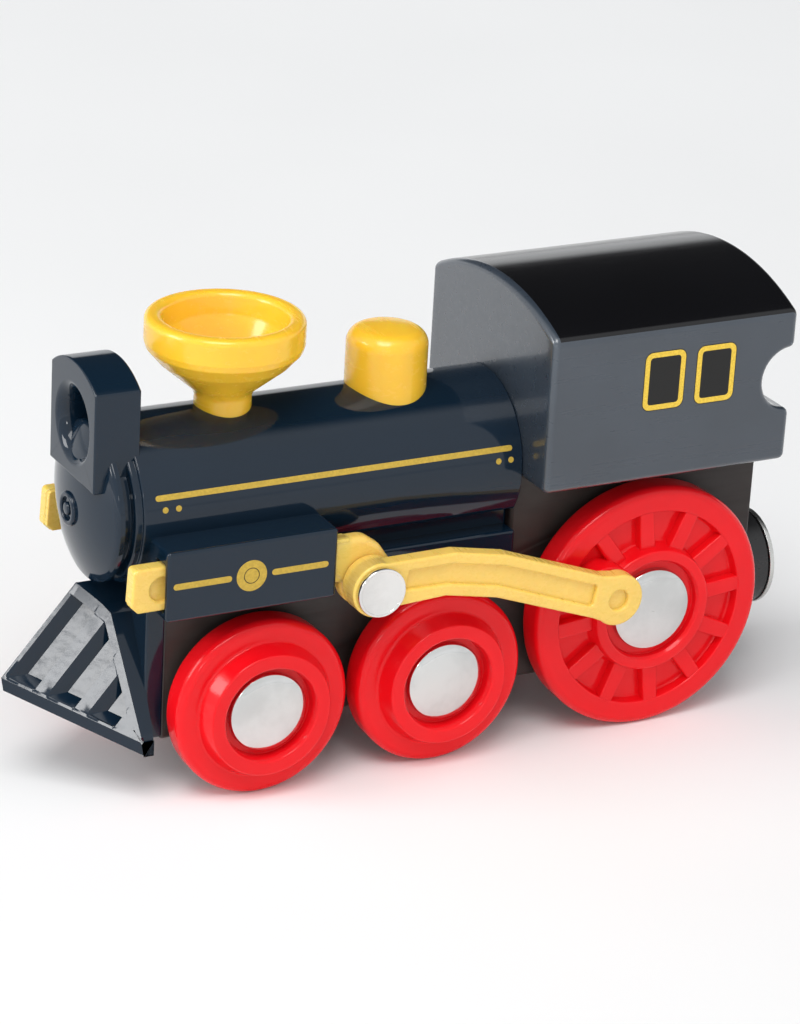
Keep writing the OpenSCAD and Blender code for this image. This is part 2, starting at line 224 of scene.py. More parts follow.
def cutout(outlines, h0, h1, bevel, place):
    """A flat plate with holes: the first outline is the edge, the rest are holes."""
    data = bpy.data.curves.new("cutout", "CURVE")
    data.dimensions, data.fill_mode = "2D", "BOTH"
    data.extrude, data.bevel_depth = (h1 - h0) / 2 - bevel, bevel
    data.bevel_resolution, data.offset = 3, -bevel
    for outline in outlines:
        line = data.splines.new("POLY")
        line.points.add(len(outline) - 1)
        for point, (a, b) in zip(line.points, outline):
            point.co = (a, b, 0, 1)
        line.use_cyclic_u = True
    temp = bpy.data.objects.new("cutout", data)
    bpy.context.scene.collection.objects.link(temp)
    mesh = bpy.data.meshes.new_from_object(temp.evaluated_get(bpy.context.evaluated_depsgraph_get()))
    mid = (h0 + h1) / 2
    shape = ([place(v.co.x, v.co.y, v.co.z + mid) for v in mesh.vertices], [tuple(p.vertices) for p in mesh.polygons])
    bpy.data.objects.remove(temp)
    bpy.data.curves.remove(data)
    bpy.data.meshes.remove(mesh)
    return shape


def piece(name, shapes, material, body, replaces=(), sharp=38, dark_faces=None):
    """One object from one or more shapes, in millimetres, riding on a CAD body."""
    mesh, bm = bpy.data.meshes.new(name), bmesh.new()
    for verts, faces in shapes:
        made = [bm.verts.new(Vector(p) * MM) for p in verts]
        for face_points in faces:
            try:
                bm.faces.new([made[i] for i in face_points])
            except ValueError:
                pass
    bmesh.ops.remove_doubles(bm, verts=bm.verts, dist=2e-7)
    bmesh.ops.dissolve_degenerate(bm, edges=bm.edges, dist=1e-7)
    bmesh.ops.recalc_face_normals(bm, faces=bm.faces)
    for f in bm.faces:
        f.smooth = True
        if dark_faces and dark_faces(f.calc_center_median() / MM):
            f.material_index = 1
    bm.to_mesh(mesh)
    bm.free()
    mesh.set_sharp_from_angle(angle=math.radians(sharp))
    obj = bpy.data.objects.new(name, mesh)
    bpy.context.scene.collection.objects.link(obj)
    for m in material if isinstance(material, (list, tuple)) else (material,):
        mesh.materials.append(m)
    weighted = obj.modifiers.new("weighted", "WEIGHTED_NORMAL")
    weighted.keep_sharp = True
    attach(obj, body)
    if replaces:
        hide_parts(*replaces)
    return obj


# ------------------------------------------------------------ materials
class Paint:
    """A procedural material: helpers that add nodes to one Principled shader."""

    def __init__(self, name):
        self.material = bpy.data.materials.new(name)
        self.material.use_nodes = True
        self.tree = self.material.node_tree
        self.shader = self.tree.nodes["Principled BSDF"]
        self.at = self.tree.nodes.new("ShaderNodeTexCoord").outputs["Object"]

    def put(self, **sockets):
        for key, value in sockets.items():
            self.shader.inputs[key.replace("_", " ")].default_value = value
        return self

    def stretch(self, x, y, z):
        node = self.tree.nodes.new("ShaderNodeMapping")
        node.inputs["Scale"].default_value = (x, y, z)
        self.tree.links.new(self.at, node.inputs["Vector"])
        return node.outputs["Vector"]

    def noise(self, scale, detail=3.0, where=None, rough=0.5):
        node = self.tree.nodes.new("ShaderNodeTexNoise")
        node.inputs["Scale"].default_value = scale
        node.inputs["Detail"].default_value = detail
        node.inputs["Roughness"].default_value = rough
        self.tree.links.new(where or self.at, node.inputs["Vector"])
        return node.outputs["Fac"]

    def curve(self, fac, a, b, low, high):
        """fac from a..b becomes low..high, held at the ends"""
        node = self.tree.nodes.new("ShaderNodeMapRange")
        node.interpolation_type = "SMOOTHSTEP"
        for key, value in (("From Min", a), ("From Max", b), ("To Min", low), ("To Max", high)):
            node.inputs[key].default_value = value
        self.tree.links.new(fac, node.inputs["Value"])
        return node.outputs["Result"]

    def blend(self, fac, first, second):
        """a colour between two colours or colour outputs"""
        node = self.tree.nodes.new("ShaderNodeMix")
        node.data_type = "RGBA"
        self.tree.links.new(fac, node.inputs["Factor"])
        for socket, value in ((node.inputs[6], first), (node.inputs[7], second)):
            if isinstance(value, tuple):
                socket.default_value = (*value, 1)
            else:
                self.tree.links.new(value, socket)
        return node.outputs[2]

    def total(self, a, b, operation="ADD"):
        node = self.tree.nodes.new("ShaderNodeMath")
        node.operation = operation
        for socket, value in zip(node.inputs, (a, b)):
            if isinstance(value, (int, float)):
                socket.default_value = value
            else:
                self.tree.links.new(value, socket)
        return node.outputs[0]

    def edges(self, low=0.51, high=0.56):
        """1 on convex edges, where paint wears and where a highlight is painted"""
        node = self.tree.nodes.new("ShaderNodeNewGeometry")
        return self.curve(node.outputs["Pointiness"], low, high, 0.0, 1.0)

    def use(self, socket, output):
        self.tree.links.new(output, self.shader.inputs[socket])
        return self

    def bump(self, *layers):
        """layers are (height output, strength, depth in mm), laid over each other"""
        normal = None
        for height, strength, depth in layers:
            node = self.tree.nodes.new("ShaderNodeBump")
            node.inputs["Strength"].default_value = strength
            node.inputs["Distance"].default_value = depth * MM
            self.tree.links.new(height, node.inputs["Height"])
            if normal:
                self.tree.links.new(normal, node.inputs["Normal"])
            normal = node.outputs["Normal"]
        return self.use("Normal", normal)


def shade(colour, factor):
    return tuple(min(1.0, c * factor) for c in colour)


def moulded(name, colour, rough, coat=0.0, ior=1.5, glow=0.0, spread=(1.0, 0.5, 0.25)):
    """Injection-moulded plastic: soft tone changes, faint flow waves, fine handling scratches."""
    p = Paint(name)
    clouds = p.noise(90, 4)
    tone = p.blend(p.curve(clouds, 0.3, 0.7, 0, 1), shade(colour, 0.96), shade(colour, 1.03))
    fine = p.noise(2600, 2)
    tone = p.blend(p.curve(fine, 0.62, 0.8, 0, 0.12), tone, shade(colour, 1.15))
    p.use("Base Color", tone)
    scratch = p.noise(700, 5, p.stretch(1, 0.12, 1.6), 0.7)
    p.use("Roughness", p.curve(scratch, 0.35, 0.75, rough * 0.8, rough * 1.5 + 0.03))
    p.bump((p.noise(110, 1), 0.1, 0.02), (scratch, 0.06, 0.003), (p.noise(1900, 3), 0.06, 0.003))
    p.put(IOR=ior, Coat_Weight=coat, Coat_Roughness=0.06)
    if glow:
        p.put(Subsurface_Weight=glow, Subsurface_Radius=spread, Subsurface_Scale=0.9 * MM)
    return p.material


def lacquered_wood(name, colour, rough, coat, grain, edge_wear_and_highlight):
    """Painted beech: long grain showing through the paint, pores, edges paler from rubbed paint and a painted
    highlight.
    """
    p = Paint(name)
    long_grain = p.noise(900, 6, p.stretch(0.09, 1, 1), 0.65)
    pores = p.noise(2600, 2, p.stretch(0.16, 1, 1), 0.5)
    clouds = p.noise(60, 3)
    tone = p.blend(p.curve(clouds, 0.3, 0.7, 0, 1), shade(colour, 0.92), shade(colour, 1.07))
    tone = p.blend(p.curve(long_grain, 0.5, 0.78, 0, 0.55 * grain), tone, shade(colour, 0.55))
    # convex edges lightened towards a paler colour: partly rubbed paint, partly a painted highlight
    tone = p.blend(p.total(p.edges(), p.curve(clouds, 0.35, 0.65, 0.3, 1), "MULTIPLY"), tone, edge_wear_and_highlight)
    p.use("Base Color", tone)
    p.use("Roughness", p.curve(long_grain, 0.3, 0.75, rough * 0.85, rough * 1.35))
    p.bump((long_grain, 0.3 * grain, 0.03), (pores, 0.25 * grain, 0.02), (p.noise(90, 1), 0.12, 0.03))
    p.put(IOR=1.42, Coat_Weight=coat, Coat_Roughness=0.1)
    return p.material


def steel(name, colour, rough, brushed=(1, 1, 1), dents=0.05):
    """Bare or plated steel: fine brushing, smudges, small dents."""
    p = Paint(name)
    lines = p.noise(2400, 4, p.stretch(*brushed), 0.6)
    smudge = p.noise(170, 4, rough=0.6)
    p.use("Base Color", p.blend(p.curve(smudge, 0.35, 0.7, 0, 1), colour, shade(colour, 0.86)))
    brushing = p.curve(lines, 0.3, 0.7, rough * 0.7, rough * 1.3)
    p.use("Roughness", p.total(brushing, p.curve(smudge, 0.45, 0.75, 0, 0.1)))
    p.bump((lines, 0.15, 0.005), (p.noise(300, 2), 0.35, dents), (smudge, 0.1, 0.01))
    p.put(Metallic=1.0)
    return p.material


def printed(name, colour, rough, metallic=0.0):
    """Pad-printed ink: thin, slightly uneven, matt next to the gloss."""
    p = Paint(name)
    grain = p.noise(3200, 3, rough=0.7)
    p.use("Base Color", p.blend(p.curve(grain, 0.35, 0.7, 0, 1), shade(colour, 0.86), shade(colour, 1.08)))
    p.use("Roughness", p.curve(grain, 0.3, 0.7, rough * 0.85, rough * 1.2))
    p.bump((grain, 0.2, 0.006))
    p.put(Metallic=metallic, IOR=1.38)
    return p.material


def satin_floor():
    p = Paint("studio_floor")
    clouds = p.noise(6, 3)
    tone = p.blend(clouds, (0.86, 0.86, 0.86), (0.9, 0.9, 0.9))
    far = p.tree.nodes.new("ShaderNodeVectorMath")
    far.operation = "LENGTH"
    p.tree.links.new(p.at, far.inputs[0])
    p.use("Base Color", p.blend(p.curve(far.outputs["Value"], 0.12, 0.7, 0, 1), tone, (0.985, 0.985, 0.985)))
    p.use("Roughness", p.curve(clouds, 0.3, 0.7, 0.7, 0.85))
    p.bump((p.noise(900, 3), 0.1, 0.02))
    return p.material


NAVY = moulded("navy_plastic", (0.004, 0.013, 0.026), 0.07, ior=1.45)
AMBER = moulded("amber_plastic", (0.93, 0.55, 0.035), 0.2, coat=0.15, glow=0.6, spread=(1.0, 0.5, 0.12))
YELLOW = moulded("yellow_plastic", (0.87, 0.58, 0.125), 0.28, coat=0.1, glow=0.3, spread=(1.0, 0.6, 0.2))
RED = moulded("red_plastic", (0.78, 0.005, 0.010), 0.15, ior=1.36, glow=0.1, spread=(1.0, 0.12, 0.08))
BLACK_PLASTIC = moulded("black_plastic", (0.016, 0.016, 0.017), 0.32)
SLATE = lacquered_wood("slate_lacquer", (0.027, 0.037, 0.052), 0.30, 1.0, 0.16, (0.10, 0.125, 0.15))
ROOF = lacquered_wood("roof_gloss_black", (0.004, 0.004, 0.005), 0.13, 0.1, 0.35, (0.02, 0.02, 0.022))
BLACK_WOOD = lacquered_wood("black_wood", (0.019, 0.012, 0.011), 0.42, 0.0, 1.0, (0.05, 0.045, 0.04))
CHROME = steel("bright_steel", (0.70, 0.70, 0.69), 0.10)
PIN_STEEL = steel("pin_steel", (0.82, 0.81, 0.79), 0.10)
AXLE = steel("axle_steel", (0.55, 0.55, 0.55), 0.26, (1, 0.1, 1))
MAGNET = steel("magnet_steel", (0.66, 0.66, 0.64), 0.22)
GOLD = printed("gold_print", (0.54, 0.36, 0.05), 0.38)
WINDOW_YELLOW = printed("window_yellow_print", (0.83, 0.56, 0.06), 0.4)
CHARCOAL = printed("charcoal_print", (0.012, 0.0115, 0.011), 0.5)
DARK_LINE = printed("dark_line_print", (0.02, 0.018, 0.012), 0.45)


# ------------------------------------------------------------ wood
def chassis():
    side_view = soften([
        (chassis_lo.x, ride_h, 0.9), (face, ride_h, 0.6), (face, deck, 0.6),
        (cab_hi.x, deck, 0.6), (cab_hi.x, cab_lo.z, 0.6), (chassis_lo.x, cab_lo.z, 0.9)])
    w = chassis_hi.y
    piece("chassis_wood", [slab(side_view, -w, w, 0.55, on_side(1))], BLACK_WOOD, "loco",
          ["chassis_block"])


def cab():
    """Rounded block with an arched top and a half-round notch across the back."""
    x0, x1, z0 = cab_lo.x, cab_hi.x, cab_lo.z
    half_w, top = cab_hi.y, cab_hi.z
    rise, edge = 4.3, 0.95
    corner = edge + 0.05
    arch_r = (half_w ** 2 + rise ** 2) / (2 * rise)
    notch_r, nx, nz = 4.5, x0 + 0.2, z0 + 12.2
    lip_x = x0 + corner
    lip_h = math.sqrt((notch_r + corner) ** 2 - (lip_x - nx) ** 2)
    to_lip = math.degrees(math.atan2(lip_h, lip_x - nx))

    def outline(zt, d):
        r = corner - d
        return (
            arc(x1 - corner, z0 + corner, r, -90, 0)
            + arc(x1 - corner, zt - corner, r, 0, 90)
            + arc(x0 + corner, zt - corner, r, 90, 180)
            + arc(lip_x, nz + lip_h, r, 180, 180 + to_lip)
            + arc(nx, nz, notch_r + d, to_lip, -to_lip, 24)
            + arc(lip_x, nz - lip_h, r, 180 - to_lip, 180)
            + arc(x0 + corner, z0 + corner, r, 180, 270))

    turns = [math.radians(15 * k) for k in range(7)]
    stations = [(half_w - edge + edge * math.sin(t), edge * (1 - math.cos(t))) for t in turns]
    flat = [(half_w - edge) * k / 14 for k in range(-14, 15)]
    ys = [(-y, d) for y, d in reversed(stations[1:])] + [(y, 0) for y in flat] + stations[1:]
    rings = []
    for y, d in ys:
        zt = top - (arch_r - math.sqrt(arch_r ** 2 - y ** 2))
        rings.append([(x, y, z) for x, z in outline(zt, d)])
    roof_y = half_w - 0.35

    def is_roof(c):
        arch_z = top - (arch_r - math.sqrt(arch_r ** 2 - min(abs(c.y), half_w) ** 2))
        return c.z > arch_z - 0.75 and abs(c.y) < roof_y and c.x < x1 - corner + 0.01

    piece("cab_lacquered_wood", [loft(rings)], [SLATE, ROOF], "loco", ["cab_block"], dark_faces=is_roof)


def windows():
    """Two printed windows on each side: dark hairline, yellow outline, charcoal pane."""
    w0, z0, z1 = cab_hi.y, 49.5, 57.9
    line, hair = 0.75, 0.12         # widths of the yellow outline and of the hairline
    spans = ((cab_hi.x - 20.9, cab_hi.x - 14.5), (cab_hi.x - 29.0, cab_hi.x - 22.8))
    for side, label in SIDES:
        place = on_side(side)
        for i, (a0, a1) in enumerate(spans, 1):
            outer = rounded(a0, a1, z0, z1, 1.1)
            inner = rounded(a0 + line, a1 - line, z0 + line, z1 - line, 0.5)
            back = slab(inset(outer, -hair), w0 - 0.2, w0 + 0.012, 0.004, place, 1)
            outline = cutout([outer, inner], w0 - 0.1, w0 + 0.03, 0.01, place)
            pane = slab(inset(inner, hair), w0 - 0.1, w0 + 0.025, 0.01, place, 1)
            piece(f"window_hairline_{label}_{i}", [back], DARK_LINE, "loco")
            piece(f"window_outline_{label}_{i}", [outline], WINDOW_YELLOW, "loco")
            piece(f"window_pane_{label}_{i}", [pane], CHARCOAL, "loco")


# ------------------------------------------------------------ moulded body
def boiler():
    r, z = boiler_r, boiler_z
    flat_z = deck + 7.9
    profile = soften([
        (0, cab_hi.x), (r, cab_hi.x, 0.25), (r, boiler_end, 0.35), (r - 0.5, boiler_end, 0.08),
        (r - 0.5, boiler_end + 1, 0.35), (r - 1.9, boiler_end + 1, 0.1), (r - 1.9, boiler_end + 2.7),
        (0, boiler_end + 2.7)], closed=False)
    split = next(i for i, p in enumerate(profile) if p[1] > face - 2)
    profile[split:split] = [(r, face - 2.2), (r, face - 2.0)]
    verts, faces = lathe(profile, along_x, 0, z, steps=160)
    verts = [(x, y, max(zz, flat_z)) if x < face - 2.1 else (x, y, zz) for x, y, zz in verts]
    under = [
        brick(cab_hi.x, body_mid_x + 2, -7.6, 7.6, deck, boiler_z - 2, 0.3),
        brick(cab_hi.x, body_mid_x + 2, -10.4, 10.4, deck, deck + 4.9, 0.45),
        brick(body_mid_x, face, 0.3 - r, r - 0.3, deck, boiler_z - 2.2, 0.3),
        brick(face - 0.4, face + 2.4, -chassis_hi.y, chassis_hi.y, ride_h + 0.4, deck + 6, 0.4)]
    piece("boiler_moulding", [(verts, faces)] + under, NAVY, "loco", ["body_shell"])


def cylinder_blocks():
    """Two hollow blocks that the piston bars slide through."""
    out_y, in_y = body_hi.y, boiler_r - 3
    z0 = deck + 2.4
    z1 = z0 + 9.9
    edge = 0.5
    gap = 0.3
    for side, label in SIDES:
        outer = rounded(in_y, out_y, z0, z1, edge, 6)
        hole = rounded(piston_lo.y - gap, piston_lo.y + bar_t + gap,
                       pz - bar_h / 2 - gap, pz + bar_h / 2 + gap, 0.4, 6)
        rings = []
        for k in range(6):
            t = math.radians(18 * k)
            x, rim = body_mid_x + edge * (1 - math.cos(t)), inset(outer, edge * (1 - math.sin(t)))
            rings.append([(x, side * a, b) for a, b in rim])
        for k in range(6):
            t = math.radians(90 - 18 * k)
            x, rim = block_front - edge * (1 - math.cos(t)), inset(outer, edge * (1 - math.sin(t)))
            rings.append([(x, side * a, b) for a, b in rim])
        rings.append([(block_front, side * a, b) for a, b in inset(hole, -0.12)])
        rings += [[(x, side * a, b) for a, b in hole] for x in (block_front - 0.15, body_mid_x + 0.15)]
        rings.append([(body_mid_x, side * a, b) for a, b in inset(hole, -0.12)])
        piece(f"cylinder_block_{label}", [loft(rings, wrap=True)], NAVY, "loco")


def smokebox():
    z, r = boiler_z, door_hi.y
    x0 = door_lo.x
    x1 = x0 + 0.7
    bulge = 2.6
    sphere = (r * r + bulge * bulge) / (2 * bulge)
    rim = [(0, x0 - 0.1), (r, x0 - 0.1), (r, x1 - 0.25), (r - 0.1, x1 - 0.06)]
    radii = [r * (1 - k / 24) for k in range(1, 24)]
    crown = [(q, x1 + math.sqrt(sphere ** 2 - q ** 2) - (sphere - bulge)) for q in radii]
    apex = x1 + bulge
    door = lathe(rim + crown + [(0, apex)], along_x, 0, z)
    ring = soften([(0, x1), (2.4, x1), (2.4, apex + 0.4, 0.35), (1.6, apex + 0.4, 0.25), (1.6, apex - 0.15, 0.15),
                   (0.9, apex - 0.15, 0.1), (0.9, apex + 0.45, 0.35), (0, apex + 0.5)], closed=False)
    knob = lathe(ring, along_x, 0, z - 0.7, steps=48)
    piece("smokebox_door_moulding", [door, knob], NAVY, "loco", ["smokebox_door"])


def headlamp():
    """Arch-topped box with a round, lipped recess in its front face."""
    x0, x1, w = lamp_lo.x, lamp_hi.x, lamp_hi.y
    z0, z1 = lamp_lo.z, lamp_hi.z
    hole_z, arch_r = z0 + 7.4, 12.6
    shoulder = z1 - arch_r + math.sqrt(arch_r ** 2 - w ** 2)
    tilt = math.degrees(math.asin(w / arch_r))
    front = soften(
        [(-w, z0, 0.25), (w, z0, 0.25), (w, shoulder, 0.35)]
        + arc(0, z1 - arch_r, arch_r, 90 - tilt + 4, 90 + tilt - 4, 16)
        + [(-w, shoulder, 0.35)], 4)
    front = finer(front, 0.6)
    edge = 0.28
    rings = [inset(front, edge)]
    stations = [x0]
    for k in range(1, 5):
        t = math.radians(22.5 * k)
        rings.append(inset(front, edge * (1 - math.sin(t))))
        stations.append(x0 + edge * (1 - math.cos(t)))
    for k in range(5):
        t = math.radians(90 - 22.5 * k)
        rings.append(inset(front, edge * (1 - math.sin(t))))
        stations.append(x1 - edge * (1 - math.cos(t)))
    angles = [math.atan2(b - hole_z, a) for a, b in rings[-1]]
    recess = ((5.85, 0), (5.72, 0.02), (5.5, 0.09), (5.2, 0.26), (4.9, 0.52), (4.65, 0.86), (4.45, 1.25), (4.32, 1.7),
              (4.26, 2.2), (4.22, 3.0), (4.15, 3.6), (3.9, 4.1), (3.4, 4.4), (2.6, 4.5), (0.02, 4.5))
    for r, depth in recess:
        rings.append([(r * math.cos(t), hole_z + r * math.sin(t)) for t in angles])
        stations.append(x1 - depth)
    shape = loft([[(x, a, b) for a, b in ring] for x, ring in zip(stations, rings)])
    piece("headlamp_moulding", [shape], NAVY, "loco", ["headlamp_box"], sharp=32)


def cowcatcher():
    """V-shaped prow; each half is one flat face with three slots closed at both ends."""
    a = Vector((front_x + 21.6, 0, deck + 2.2))
    d = Vector((prow_hi.x, 0, ride_h + 8.7))
    b = Vector((front_x + 18.07, 3.5, deck - 1))
    c = Vector((front_x + 16.6, 12, ride_h + 1.7))
    back = prow_lo.x
    u = (d - a).normalized()
    n = u.cross(b - a).normalized()
    if n.x < 0:
        n = -n
    v = n.cross(u)
    if v.y < 0:
        v = -v
    bu, bv, cu, cv, du = (b - a).dot(u), (b - a).dot(v), (c - a).dot(u), (c - a).dot(v), (d - a).length
    sunk, soft = Vector((-2.6, 0, 0)), 0.22
    half_slot = 0.094 * cv

    def top_u(q):
        return q * bu / bv if q < bv else bu + (q - bv) * (cu - bu) / (cv - bv)

    def foot_u(q):
        return du + q * (cu - du) / cv

    columns = [(0, 0), (0.12, 0)]
    for share in (0.125, 0.406, 0.69):
        q = share * cv
        lo, hi = q - half_slot, q + half_slot
        columns += [(lo - soft * 0.4, 0), (lo, 0.12), (lo + soft, 1), (q, 1),
                    (hi - soft, 1), (hi, 0.12), (hi + soft * 0.4, 0)]
    columns += [(0.82 * cv, 0), (0.9 * cv, 0), (0.97 * cv, 0), (cv * 0.9995, 0)]
    columns.sort()
    rows = []
    for q, weight in columns:
        t0, t1 = top_u(q), foot_u(q)
        s0, s1 = max(1.7, t0 + 1.4), t1 - 0.45
        if s1 - s0 < 1:
            s0, s1, weight = t0 + (t1 - t0) * 0.3, t0 + (t1 - t0) * 0.6, 0
        marks = [(t0, 0), (s0 - 0.1, 0), (s0, 0.12), (s0 + soft, 1)]
        marks += [(s0 + soft + (s1 - s0 - 2 * soft) * k / 4, 1) for k in (1, 2, 3)]
        marks += [(s1 - soft, 1), (s1, 0.12), (s1 + 0.1, 0), (t1, 0)]
        rows.append([a + u * m + v * q + sunk * (weight * f) for m, f in marks])
    bm = bmesh.new()
    for s in (1, -1):
        grid = [[bm.verts.new((p.x, s * p.y, p.z)) for p in row] for row in rows]
        for i in range(len(grid) - 1):
            for j in range(len(grid[0]) - 1):
                bm.faces.new((grid[i][j], grid[i + 1][j], grid[i + 1][j + 1], grid[i][j + 1]))
    bmesh.ops.remove_doubles(bm, verts=bm.verts, dist=0.003)
    rim = [e for e in bm.edges if e.is_boundary]

    def is_foot(p):
        q = Vector((p.x, abs(p.y), p.z)) - a
        return q.dot(u) > foot_u(q.dot(v)) - 0.06

    def skirt(edges, move):
        grown = bmesh.ops.extrude_edge_only(bm, edges=edges)["geom"]
        new = [g for g in grown if isinstance(g, bmesh.types.BMVert)]
        for p in new:
            p.co = move(p.co)
        return [g for g in grown if isinstance(g, bmesh.types.BMEdge) and g.is_boundary]

    def down(p):
        if is_foot(p):
            return p + Vector((-0.35, 0, -1.95))
        return p + Vector((-0.3, 0, -0.04))

    def rear(p):
        return Vector((back, p.y, p.z))

    rim = skirt(rim, down)
    rim = skirt(rim, rear)
    bmesh.ops.holes_fill(bm, edges=rim, sides=0)
    bmesh.ops.recalc_face_normals(bm, faces=bm.faces)
    verts = [tuple(p.co) for p in bm.verts]
    bm.verts.index_update()
    faces = [tuple(p.index for p in f.verts) for f in bm.faces]
    bm.free()
    obj = piece("cowcatcher_moulding", [(verts, faces)], NAVY, "loco", ["cowcatcher"], sharp=25)
    soften_edges = obj.modifiers.new("edge", "BEVEL")
    soften_edges.width, soften_edges.segments, soften_edges.limit_method = 0.12 * MM, 2, "ANGLE"
    soften_edges.angle_limit = math.radians(40)
    obj.modifiers.move(1, 0)


def funnel():
    r = funnel_hi.x - (funnel_lo.x + funnel_hi.x) / 2
    cx, top = (funnel_lo.x + funnel_hi.x) / 2, funnel_hi.z
    foot = boiler_z + boiler_r - 2.6
    outline = soften([
        (0, foot), (3.9, foot), (3.9, top - 10.6, 1.8), (r - 1.9, top - 6.4, 2.6), (r - 0.25, top - 4.5, 0.7),
        (r, top - 3.6, 0.6), (r, top, 0.95), (r - 2.2, top, 0.95), (r - 2.9, top - 3.0, 2.2),
        (r - 4.6, top - 6.4, 1.2), (4.9, top - 7.2, 0.8), (0, top - 7.5)], 7, closed=False)
    piece("funnel_moulding", [lathe(outline, upright, cx, 0)], AMBER, "loco", ["funnel"], sharp=50)


def steam_dome():
    cx, r, top = (dome_lo.x + dome_hi.x) / 2, (dome_hi.x - dome_lo.x) / 2, dome_hi.z
    foot = boiler_z + boiler_r - 3.5
    outline = soften([(0, foot), (r, foot), (r, top - 0.75, 2.3), (0, top)], 9, closed=False)
    piece("steam_dome_moulding", [lathe(outline, upright, cx, 0)], AMBER, "loco",
          ["steam_dome"], sharp=60)


def pinstripes():
    """Gold line along each side of the boiler with two dots under each end, and the cylinder-block print."""
    lift = 0.03

    def on_boiler(side, height):
        start = math.asin((height - boiler_z) / boiler_r)

        def place(a, b, h):
            t = start + b / boiler_r
            return (a, side * (boiler_r + h) * math.cos(t), boiler_z + (boiler_r + h) * math.sin(t))
        return place

    def stadium(a0, a1, b, r):
        return arc(a1 - r, b, r, -90, 90) + arc(a0 + r, b, r, 90, 270)

    for side, label in SIDES:
        high, low = on_boiler(side, 43.9), on_boiler(side, 42.3)
        shapes = [slab(stadium(front_x - 37.95, front_x + 15.25, 0, 0.4), -0.1, lift, 0.01, high, 1)]
        shapes += [slab(circle(front_x + x, 0, 0.42, 24), -0.1, lift, 0.01, low, 1)
                   for x in (-37.65, -35.75, 12.05, 13.95)]
        piece(f"boiler_pinstripe_{label}", shapes, GOLD, "loco")
        y, z, mid = body_hi.y, 33.85, front_x + 3.9
        flat = on_side(side)
        shapes = [slab(stadium(mid + 2.85, mid + 11.25, z, 0.44), y - 0.1, y + lift, 0.01, flat, 1),
                  slab(stadium(mid - 11.25, mid - 2.95, z, 0.44), y - 0.1, y + lift, 0.01, flat, 1),
                  cutout([circle(mid, z, 2.2), circle(mid, z, 1.14)], y - 0.1, y + lift, 0.01, flat),
                  slab(circle(mid, z, 1.02), y - 0.1, y + lift, 0.01, flat, 1)]
        piece(f"block_print_{label}", shapes, GOLD, "loco")
        ground = slab(circle(mid, z, 1.3), y - 0.2, y + 0.012, 0.004, flat, 1)
        piece(f"medallion_line_{label}", [ground], DARK_LINE, "loco")


# ------------------------------------------------------------ wheels
def small_wheels():
    r, base = wheel_r, tread_out
    outline = soften([
        (axle_r, tread_in, 0.1), (4.5, tread_in, 0.2), (5.5, tread_in + 0.6, 0.3), (r - 2.6, tread_in + 0.6, 0.3),
        (r - 1.9, tread_in, 0.3), (r, tread_in, 1.1), (r, base, 1.25), (9.75, base - 0.12, 0.45), (8.75, hub_y, 0.32),
        (6.85, hub_y, 0.35), (6.55, hub_y - 1.0, 0.35), (6.5, base + 0.3, 0.1), (axle_r, base + 0.3)], 6)
    for name in ("front", "middle"):
        at = axle_at[name]
        for side, label in SIDES:
            shape = lathe(outline, on_side(side), at.x, at.z, wrap=True, steps=128)
            piece(f"{name}_wheel_{label}_moulding", [shape], RED, name + "_wheelset",
                  [f"{name}_wheel_{label}"], sharp=50)


def hub_caps():
    """Steel caps, slightly domed: the crown falls by sag from its middle to its rolled edge."""
    small = (cap_lo, cap_hi)
    for name, (lo, hi) in (("front", small), ("middle", small), ("drive", (drive_cap_lo, drive_cap_hi))):
        at = axle_at[name]
        r, h0, h1 = (hi.x - lo.x) / 2, lo.y, hi.y
        sag = 0.351 * (h1 - h0)
        crown = [(r * k / 12, h1 - sag * (k / 12) ** 2) for k in range(11)]
        outline = [(0, h0), (r, h0)] + arc(r - 0.4, h1 - sag - 0.45, 0.4, 0, 70, 6) + crown[::-1]
        for side, label in SIDES:
            piece(f"{name}_cap_{label}_pressing", [lathe(outline, on_side(side), at.x, at.z, steps=72)], CHROME,
                  name + "_wheelset", [f"{name}_cap_{label}"], sharp=60)


def drive_wheels():
    """Large wheels with spokes in a dished face and a boss for the crank"""
    at = axle_at["drive"]
    r, y0 = drive_r, drive_lo.y
    y1 = y0 + tread_w + 0.4
    rim, floor = r - 3.5, y1 - 1.5
    outline = soften([
        (axle_r, y0, 0.1), (5, y0, 0.2), (6, y0 + 0.7, 0.3), (r - 3, y0 + 0.7, 0.3), (r - 2.2, y0, 0.3), (r, y0, 1.1),
        (r, y1, 1.25), (rim, y1, 0.3), (rim - 0.25, floor, 0.35), (9.6, floor, 0.4), (9.0, y1 + 1.05, 0.4),
        (7.6, y1 + 1.05, 0.25), (7.25, y1 + 0.5, 0.25), (7.2, y1 - 0.3, 0.1), (axle_r, y1 - 0.3)], 6)
    spokes, first_spoke = 12, -6        # number, and the first one's angle in degrees
    spoke_outline = [(8.6, -1.25), (rim + 0.7, -1.1), (rim + 0.7, 1.1), (8.6, 1.25)]
    for side, label in SIDES:
        place = on_side(side)
        shapes = [lathe(outline, place, at.x, at.z, wrap=True, steps=144)]
        for i in range(spokes):
            t = math.radians(i * 360 / spokes + first_spoke)

            def spoke(a, b, h, t=t):
                return place(at.x + a * math.cos(t) - b * math.sin(t), at.z + a * math.sin(t) + b * math.cos(t), h)
            shapes.append(slab(spoke_outline, floor - 0.3, y1 - 0.12, 0.3, spoke, 3))
        boss = soften([(0, floor), (3.9, floor), (3.9, drive_hi.y, 0.5), (0, drive_hi.y)], 5, closed=False)
        shapes.append(lathe(boss, place, eye_at.x, eye_at.z, steps=64))
        piece(f"drive_wheel_{label}_moulding", shapes, RED, "drive_wheelset",
              [f"drive_wheel_{label}"], sharp=45)


